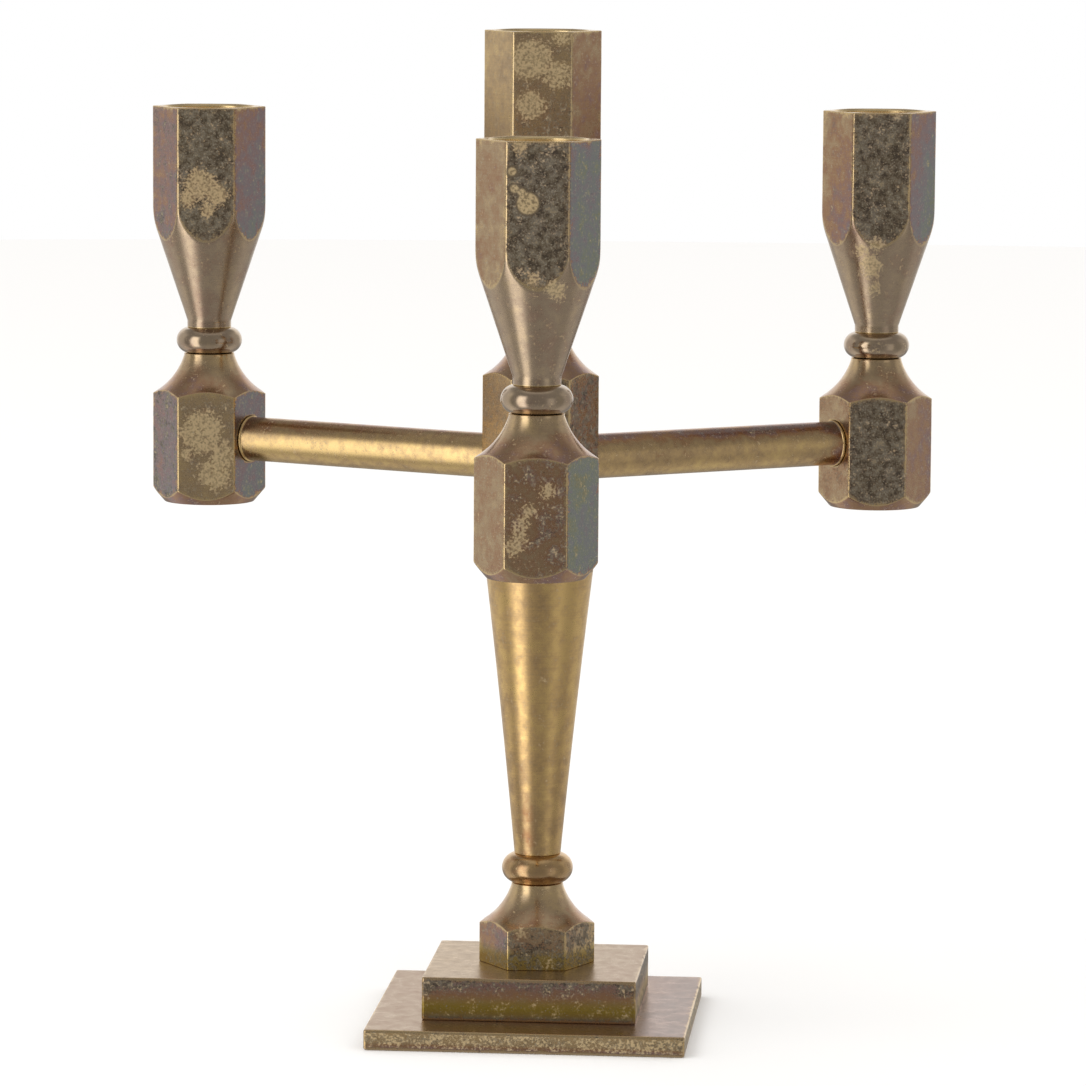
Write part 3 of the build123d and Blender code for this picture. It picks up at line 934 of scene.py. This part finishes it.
# %% Wires and finishes
class Wire:
    """One output socket of a finish, with arithmetic on its values."""

    def __init__(self, finish, socket):
        self.finish, self.socket = finish, socket

    def math(self, operation, other=0.0, swapped=False):
        """One Math node of this value and another, or of the other one first if swapped."""
        first, second = (other, self) if swapped else (self, other)
        return self.finish.node("ShaderNodeMath", dict(operation=operation), {0: first, 1: second})

    def __add__(self, other):
        return self.math("ADD", other)

    def __sub__(self, other):
        return self.math("SUBTRACT", other)

    def __mul__(self, other):
        return self.math("MULTIPLY", other)

    def __rsub__(self, other):
        return self.math("SUBTRACT", other, swapped=True)

    __radd__, __rmul__ = __add__, __mul__

    def between(self, low, high):
        """0 at low, 1 at high and a cubic ease in between; low may be the larger."""
        values = {"Value": self, "From Min": low, "From Max": high}
        return self.finish.node("ShaderNodeMapRange", dict(interpolation_type="SMOOTHSTEP"), values)


class Finish:
    """A node tree under construction, of a material or of the world."""

    def __init__(self, owner):
        owner.use_nodes = True
        self.owner, self.tree = owner, owner.node_tree
        self.tree.nodes.clear()

    def node(self, kind, settings=None, values=None, output=0):
        """Adds a node, sets its settings and ramp stops, then gives its sockets values or links."""
        made = self.tree.nodes.new(kind)
        for key, value in (settings or {}).items():
            if key == "stops":
                self.set_stops(made.color_ramp, value)
            else:
                setattr(made, key, value)
        for key, value in (values or {}).items():
            if isinstance(value, Wire):
                self.tree.links.new(value.socket, made.inputs[key])
            else:
                made.inputs[key].default_value = value
        return Wire(self, made.outputs[output]) if made.outputs else made

    @staticmethod
    def set_stops(ramp, stops):
        """Stops are (place, (red, green, blue)) in rising order."""
        ramp.elements[0].position, ramp.elements[0].color = stops[0][0], (*stops[0][1], 1)
        ramp.elements[1].position, ramp.elements[1].color = stops[-1][0], (*stops[-1][1], 1)
        for place, colour in stops[1:-1]:
            ramp.elements.new(place).color = (*colour, 1)

    def attribute(self, name):
        """One of the numbers that the mesh carries at its points."""
        return self.node("ShaderNodeAttribute", dict(attribute_name=name), output="Fac")

    def millimetres(self, stretch=(1, 1, 1)):
        """Object coordinates in millimetres, each axis times its stretch."""
        place = self.node("ShaderNodeTexCoord", output="Object")
        scale = [s / MM for s in stretch]
        return self.node("ShaderNodeVectorMath", dict(operation="MULTIPLY"), {0: place, 1: scale})

    def noise(self, per_mm, detail, place, distortion=0.0):
        """Fractal noise; per_mm is how many of its largest lumps go into a millimetre."""
        values = {"Vector": place, "Scale": per_mm, "Detail": detail, "Roughness": 0.6}
        return self.node("ShaderNodeTexNoise", values={**values, "Distortion": distortion})

    def mix(self, factor, first, second, blend="MIX"):
        """Colours: first where factor is 0, second where it is 1."""
        colours = {0: factor, 6: first, 7: second}
        return self.node("ShaderNodeMix", dict(data_type="RGBA", blend_type=blend), colours, output=2)


print("a finish is a tree of nodes; a wire is one of its sockets")

# %% [markdown]
# ## Aged brass
# Clean brass is pale gold. Its oxide film adds an interference colour that runs with thickness: tan,
# copper, purple, violet grey, blue grey, green grey and olive. Thick patina hides the metal under a dull
# speckled brown. Edges and rims are rubbed bright. One recipe makes all of it from the point attributes, and
# noise at four sizes stops any of it from looking even.

# %% The recipe for aged brass
FILM_COLOURS = [
    (0.0, (0.82, 0.61, 0.30)),
    (0.15, (0.68, 0.49, 0.265)),
    (0.30, (0.52, 0.375, 0.225)),
    (0.45, (0.445, 0.258, 0.146)),
    (0.58, (0.36, 0.225, 0.205)),
    (0.70, (0.31, 0.25, 0.26)),
    (0.82, (0.27, 0.28, 0.275)),
    (0.92, (0.28, 0.30, 0.23)),
    (1.0, (0.30, 0.28, 0.17)),
]
OLIVE_STAIN = (0.44, 0.335, 0.065, 1)
PATINA_COLOURS = [
    (0.30, (0.050, 0.040, 0.027)),
    (0.43, (0.120, 0.095, 0.062)),
    (0.53, (0.165, 0.136, 0.090)),
    (0.63, (0.180, 0.163, 0.130)),
    (0.74, (0.300, 0.240, 0.150)),
]


def aged_brass(name, satin, lines, line_depth, mottle=1.0, haze=0.0, pitted=0.5, tint=(1, 1, 1)):
    """A metal whose film, patina and wear follow the piece's attributes.

    satin is the clean metal's roughness; lines stretches the noise into fine tool marks, per axis, and
    line_depth is how deep they are; mottle is how far noise shifts the film's thickness; haze greys the
    turned parts; pitted is how dark the pits are; tint multiplies the metal's colour."""
    finish = Finish(bpy.data.materials.new(name))
    names = ("film", "cover", "edge", "drops", "inside", "flat", "bare", "olive")
    film, cover, edge, drops, inside, flat, bare, olive = [finish.attribute(name) for name in names]
    place = finish.millimetres()
    wander, blotch = finish.noise(0.09, 3, place), finish.noise(0.30, 6, place)
    speck, grain = finish.noise(1.5, 5, place), finish.noise(4.5, 3, place)
    marks = finish.noise(1.0, 3, finish.millimetres(lines))
    worn = (edge + 1.7 * (speck - 0.5) + 1.6 * (blotch - 0.5)).between(0.55, 0.15)
    rubbed = (edge + 5.0 * (speck - 0.5) + 4.0 * (blotch - 0.5)).between(0.9, -0.3) * 0.6
    bright = worn.math("MAXIMUM", rubbed)
    dropped = (drops + 1.5 * (speck - 0.5) + 1.6 * (grain - 0.5)).between(0.22, -0.30)
    ring = (drops + 0.8 * (speck - 0.5)).math("ABSOLUTE").between(0.45, 0.1) * 0.75
    bared = (bare + 2.9 * (speck - 0.5) + 1.8 * (blotch - 0.5)).between(0.25, 0.85)
    dropped = dropped.math("MAXIMUM", bared * 0.85)
    drift = 0.34 * (wander - 0.5) + 0.60 * (blotch - 0.5) + 0.20 * (speck - 0.5) + 0.16 * (marks - 0.5)
    thickness = (film + mottle * drift) * (1 - 0.75 * bright)
    metal = finish.node("ShaderNodeValToRGB", dict(stops=FILM_COLOURS), {0: thickness})
    metal = finish.mix(haze * (1 - flat), metal, (0.42, 0.345, 0.285, 1))
    metal = finish.mix(0.92 * olive, metal, OLIVE_STAIN)
    metal = finish.mix(1.0, metal, (*tint, 1), "MULTIPLY")
    texture = 0.40 * blotch + 0.46 * speck + 0.14 * wander
    hidden = (texture + 0.36 * (cover - 0.5)).between(0.45, 0.54) * (1 - bright) * (1 - dropped)
    shade = 0.62 * finish.noise(0.55, 6, place) + 0.38 * finish.noise(2.0, 4, place)
    patina = finish.node("ShaderNodeValToRGB", dict(stops=PATINA_COLOURS), {0: 2.3 * shade - 0.66})
    colour = finish.mix(hidden * 0.94, metal, patina)
    flecks = finish.noise(2.0, 3, place, 0.8).between(0.60, 0.68) * (0.12 + 0.78 * flat)
    colour = finish.mix(flecks * 0.8, colour, (0.60, 0.53, 0.40, 1))
    pits = finish.noise(1.7, 4, place).between(0.36, 0.29) * (1 - 0.6 * bright) * pitted
    colour = finish.mix(pits, colour, (0.060, 0.045, 0.030, 1))
    dried = finish.mix(speck.between(0.34, 0.58), (0.27, 0.205, 0.115, 1), (0.72, 0.555, 0.31, 1))
    colour = finish.mix(dropped * 0.9, colour, dried)
    colour = finish.mix(ring, colour, (0.13, 0.10, 0.065, 1))
    colour = finish.mix(inside * 0.8, colour, (0.90, 0.68, 0.34, 1))
    roughness = satin + 0.05 * (flat - 0.5) + 0.14 * hidden + 0.10 * dropped - 0.05 * bright
    roughness = roughness + 0.25 * (blotch - 0.5) + 0.3 * (grain - 0.5)
    metallic = 1 - 0.42 * hidden * (1 - flecks) - 0.35 * dropped
    height = line_depth * marks + 0.35 * grain * (0.3 + hidden) + 0.6 * speck * hidden
    height = height - 0.8 * pits + 0.4 * dropped
    bump = finish.node("ShaderNodeBump", values={"Strength": 0.35, "Distance": 0.03 * MM, "Height": height})
    values = {"Base Color": colour, "Metallic": metallic, "Roughness": roughness, "Normal": bump}
    shader = finish.node("ShaderNodeBsdfPrincipled", values=values)
    finish.node("ShaderNodeOutputMaterial", values={"Surface": shader})
    print(f"{name}: {len(finish.tree.nodes)} nodes")
    return finish.owner


LATHE_LINES, EVEN_MARKS, MILLED_LINES = (0.05, 0.05, 5.0), (0.6, 0.6, 0.6), (0.12, 5.0, 1.0)
HEX_BAR_BRASS = aged_brass("hex_bar_brass", 0.25, LATHE_LINES, 0.3, haze=0.08)
CUP_BRASS = aged_brass("cup_brass", 0.30, LATHE_LINES, 0.4, 1.2, haze=0.50)
BEAD_BRASS = aged_brass("bead_brass", 0.20, LATHE_LINES, 0.3, haze=0.55, pitted=0.2)
STEM_BRASS = aged_brass("stem_brass", 0.36, LATHE_LINES, 0.5, 1.3, pitted=0.03, tint=(1.0, 0.93, 0.78))
ROD_BRASS = aged_brass("rod_brass", 0.27, EVEN_MARKS, 0.2, pitted=0.35, tint=(1.0, 0.96, 0.87))
RING_BRASS = aged_brass("ring_brass", 0.24, LATHE_LINES, 0.3, pitted=0.15, tint=(1.0, 0.92, 0.80))
PLATE_BRASS = aged_brass("plate_brass", 0.34, MILLED_LINES, 0.03, 0.5, 0.35, 0.25, (1.0, 0.97, 0.91))


# %% [markdown]
# ## The hidden fasteners
# The studs are freshly cut brass that never saw the air, and the base screw is plain steel.

# %% Plain metals
def plain_metal(name, colour, roughness):
    """An even metal whose roughness wanders a little."""
    finish = Finish(bpy.data.materials.new(name))
    smear = finish.noise(0.8, 3, finish.millimetres())
    values = {"Base Color": (*colour, 1), "Metallic": 1.0, "Roughness": roughness + 0.2 * (smear - 0.5)}
    shader = finish.node("ShaderNodeBsdfPrincipled", values=values)
    finish.node("ShaderNodeOutputMaterial", values={"Surface": shader})
    return finish.owner


STUD_BRASS = plain_metal("stud_brass", (0.80, 0.60, 0.30), 0.24)
SCREW_STEEL = plain_metal("screw_steel", (0.55, 0.55, 0.54), 0.28)
print("plain metals:", STUD_BRASS.name, SCREW_STEEL.name)

# %% [markdown]
# ## Putting the pieces together
# Each surface stands for one CAD node, rides on the body that moves it and wears its finish.

# %% Cups, beads and studs
BEAD_HOLE_R = 3.35
for number, side in enumerate(("front", "right", "left", "center")):
    cup = candle_cup(f"{side}_candle_cup", f"cup_{side}", 1.7 * number)
    stand_for(cup, f"cup_{side}", CUP_BRASS, f"{side}_cup")
    bead = bead_ring(f"{side}_bead", f"bead_{side}", BEAD_HOLE_R)
    stand_for(bead, f"bead_{side}", BEAD_BRASS, f"{side}_bead_ring")
    stud = threaded_stud(f"{side}_cup_stud", f"stud_{side}", FINE_PITCH)
    stand_for(stud, f"stud_{side}", STUD_BRASS)

# %% [markdown]
# The hub takes three bores and each holder one, so every rod meets a bright chamfer at both its ends.

# %% Holders, rods and hub
for number, (side, (angle, reach)) in enumerate(ARMS.items()):
    holder = hexagonal_block(f"{side}_holder", f"holder_{side}", True, NO_HOLE, STUD_HOLE, 2.1 * number)
    cut_away(holder, bore_cutter(angle, reach - HEX_APOTHEM, False))
    stand_for(holder, f"holder_{side}", HEX_BAR_BRASS)
    rod = arm_rod(f"{side}_rod", side, number + 1)
    stand_for(rod, f"arm_rod_{side}", ROD_BRASS)
hub = hexagonal_block("hub_block", "hub", True, (HUB_STUD_R, HUB_STUD_REACH), STUD_HOLE, 4.4)
for angle, _ in ARMS.values():
    cut_away(hub, bore_cutter(angle, HEX_APOTHEM, True))
stand_for(hub, "hub", HEX_BAR_BRASS)

# %% [markdown]
# Under the hub come the stem, its ring, the foot and the plates. A plate's bands are listed from its foot
# up: olive, copper and violet grey on the upper one, copper and then tan on the lower one.

# %% Stem and base
stand_for(tapering_stem("turned_stem", "stem"), "stem", STEM_BRASS)
stand_for(bead_ring("base_ring", "base_bead", SCREW_HOLE_R), "base_bead", RING_BRASS)
low, high = box_mm("foot")
half_hole = (SCREW_HOLE_R, float(high[2] - low[2]) / 2 - 0.1)
foot = hexagonal_block("foot_block", "foot", False, half_hole, half_hole, 6.3, 0.38, 0.75)
stand_for(foot, "foot", HEX_BAR_BRASS)
UPPER_BANDS = [
    (0, 0.95, 0.3), (0.2, 0.6, 0.1), (0.4, 0.40, 0.1), (0.56, 0.45, 0.2), (0.7, 0.52, 0.46), (1, 0.70, 0.60)
]
LOWER_BANDS = [(0, 0.62, 0.2), (0.2, 0.56, 0.3), (0.4, 0.28, 0.52), (0.7, 0.2, 0.56), (1, 0.24, 0.3)]
# In each top pair the second number is painted shade: how much the top darkens towards the right.
upper = base_plate("upper_plate", "upper_base_plate", False, UPPER_BANDS, (0.25, 0.12), 1.0, 0.10)
stand_for(upper, "upper_base_plate", PLATE_BRASS)
lower = base_plate("lower_plate", "lower_base_plate", True, LOWER_BANDS, (0.38, 0.26), 0.0, 0.42)
stand_for(lower, "lower_base_plate", PLATE_BRASS)
stand_for(threaded_stud("hub_fastener", "hub_stud", HUB_PITCH), "hub_stud", SCREW_STEEL)
stand_for(base_screw("base_fastener", "base_screw"), "base_screw", SCREW_STEEL)

# %% [markdown]
# ## The studio
# Metal shows its room, so the room is drawn as light by direction: a tall key panel to the left of the
# camera, a bright wall behind, dimmer panels at both back corners, a faint one to the camera's right, a
# soft light overhead, a pale glow from the floor, and a slightly darker gap where the camera stands. All
# that is seen only in reflections; what is seen directly is white, and so is the even light on dull
# surfaces.

# %% Light by direction
PANELS = [
    # azimuth in degrees, half width, softness, middle height, half height, strength
    (-141, 14, 12, -0.05, 0.62, 1.55),
    (150, 22, 22, -0.10, 0.70, 0.36),
    (90, 36, 25, 0.14, 0.32, 0.80),
    (30, 20, 22, -0.10, 0.70, 0.20),
    (-42, 10, 16, -0.05, 0.40, 0.26),
]
ROOM, FRONT_DIP, FLOOR_GLOW, CEILING = 0.30, 0.03, 0.14, 0.22
WARM_WHITE = (1, 0.985, 0.965, 1)


def studio(world):
    """Adds each panel where the direction's azimuth and height fall within it, and the even light besides."""
    sky = Finish(world)
    direction = sky.node("ShaderNodeTexCoord", output="Generated")
    level = sky.node("ShaderNodeVectorMath", dict(operation="MULTIPLY"), {0: direction, 1: (1, 1, 0)})
    level = sky.node("ShaderNodeVectorMath", dict(operation="NORMALIZE"), {0: level})
    height = sky.node("ShaderNodeSeparateXYZ", values={0: direction}, output="Z")

    def facing(aim):
        """The cosine of the angle between a direction, seen from above, and aim: their dot product."""
        return sky.node("ShaderNodeVectorMath", dict(operation="DOT_PRODUCT"), {0: level, 1: aim}, "Value")

    light = ROOM + FLOOR_GLOW * height.between(-0.15, -0.9) + CEILING * height.between(0.80, 0.97)
    for azimuth, half_width, soft, middle, half_height, strength in PANELS:
        turn = math.radians(azimuth)
        inner, outer = [math.cos(math.radians(half_width + s * soft)) for s in (-0.5, 0.5)]
        across = facing((math.cos(turn), math.sin(turn), 0)).between(outer, inner)
        upright = (height - middle).math("ABSOLUTE").between(half_height + 0.15, half_height - 0.12)
        light = light + strength * across * upright
    light = light - FRONT_DIP * facing((0, -1, 0)).between(0.85, 0.97)
    seen = sky.node("ShaderNodeLightPath", output="Is Camera Ray")
    glossy = sky.node("ShaderNodeLightPath", output="Is Glossy Ray")
    strength = glossy * light + (1 - glossy)
    background = sky.node("ShaderNodeBackground", values={"Color": WARM_WHITE, "Strength": strength})
    white = sky.node("ShaderNodeBackground", values={"Color": (1, 1, 1, 1), "Strength": 1.0})
    both = sky.node("ShaderNodeMixShader", values={0: seen, 1: background, 2: white})
    sky.node("ShaderNodeOutputWorld", values={"Surface": both})
    print(f"the studio has {len(PANELS)} panels in {len(sky.tree.nodes)} nodes")


bpy.context.scene.world = bpy.data.worlds.new("studio")
studio(bpy.context.scene.world)
bpy.context.scene.view_settings.view_transform = "Standard"

# %% [markdown]
# A wide pale disc just under the plates takes the shadow of one soft lamp, up to the left. Neither shows
# in the metal.

# %% Floor and its soft shadow
FLOOR_R, FLOOR_DROP, FLOOR_COLUMNS = 3, 0.0002, 96
LAMP_PLACE, LAMP_TARGET = Vector((-0.9, -0.5, 1.8)), Vector((0, 0, 0.05))
around = full_turn(FLOOR_COLUMNS)
down = np.full(FLOOR_COLUMNS, -FLOOR_DROP)
rim = np.stack([FLOOR_R * np.cos(around), FLOOR_R * np.sin(around), down], axis=-1)
floor_mesh = bpy.data.meshes.new("floor")
floor_mesh.from_pydata(rim.tolist(), [], [list(range(FLOOR_COLUMNS))])
floor = bpy.data.objects.new("floor", floor_mesh)
bpy.context.scene.collection.objects.link(floor)
floor.visible_glossy = False
paint_tree = Finish(bpy.data.materials.new("pale_floor"))
paint = paint_tree.node("ShaderNodeBsdfDiffuse", values={"Color": (0.97, 0.97, 0.97, 1)})
paint_tree.node("ShaderNodeOutputMaterial", values={"Surface": paint})
floor_mesh.materials.append(paint_tree.owner)

lamp = bpy.data.objects.new("soft_lamp", bpy.data.lights.new("soft_lamp", "AREA"))
lamp.data.shape, lamp.data.size, lamp.data.energy = "DISK", 1.4, 9
turned_away = (LAMP_PLACE - LAMP_TARGET).to_track_quat("Z", "Y").to_matrix().to_4x4()
lamp.matrix_world = Matrix.Translation(LAMP_PLACE) @ turned_away
lamp.visible_glossy = False
bpy.context.scene.collection.objects.link(lamp)
print("floor", 2 * FLOOR_R, "m across; lamp", round((LAMP_PLACE - LAMP_TARGET).length, 2), "m from the base")
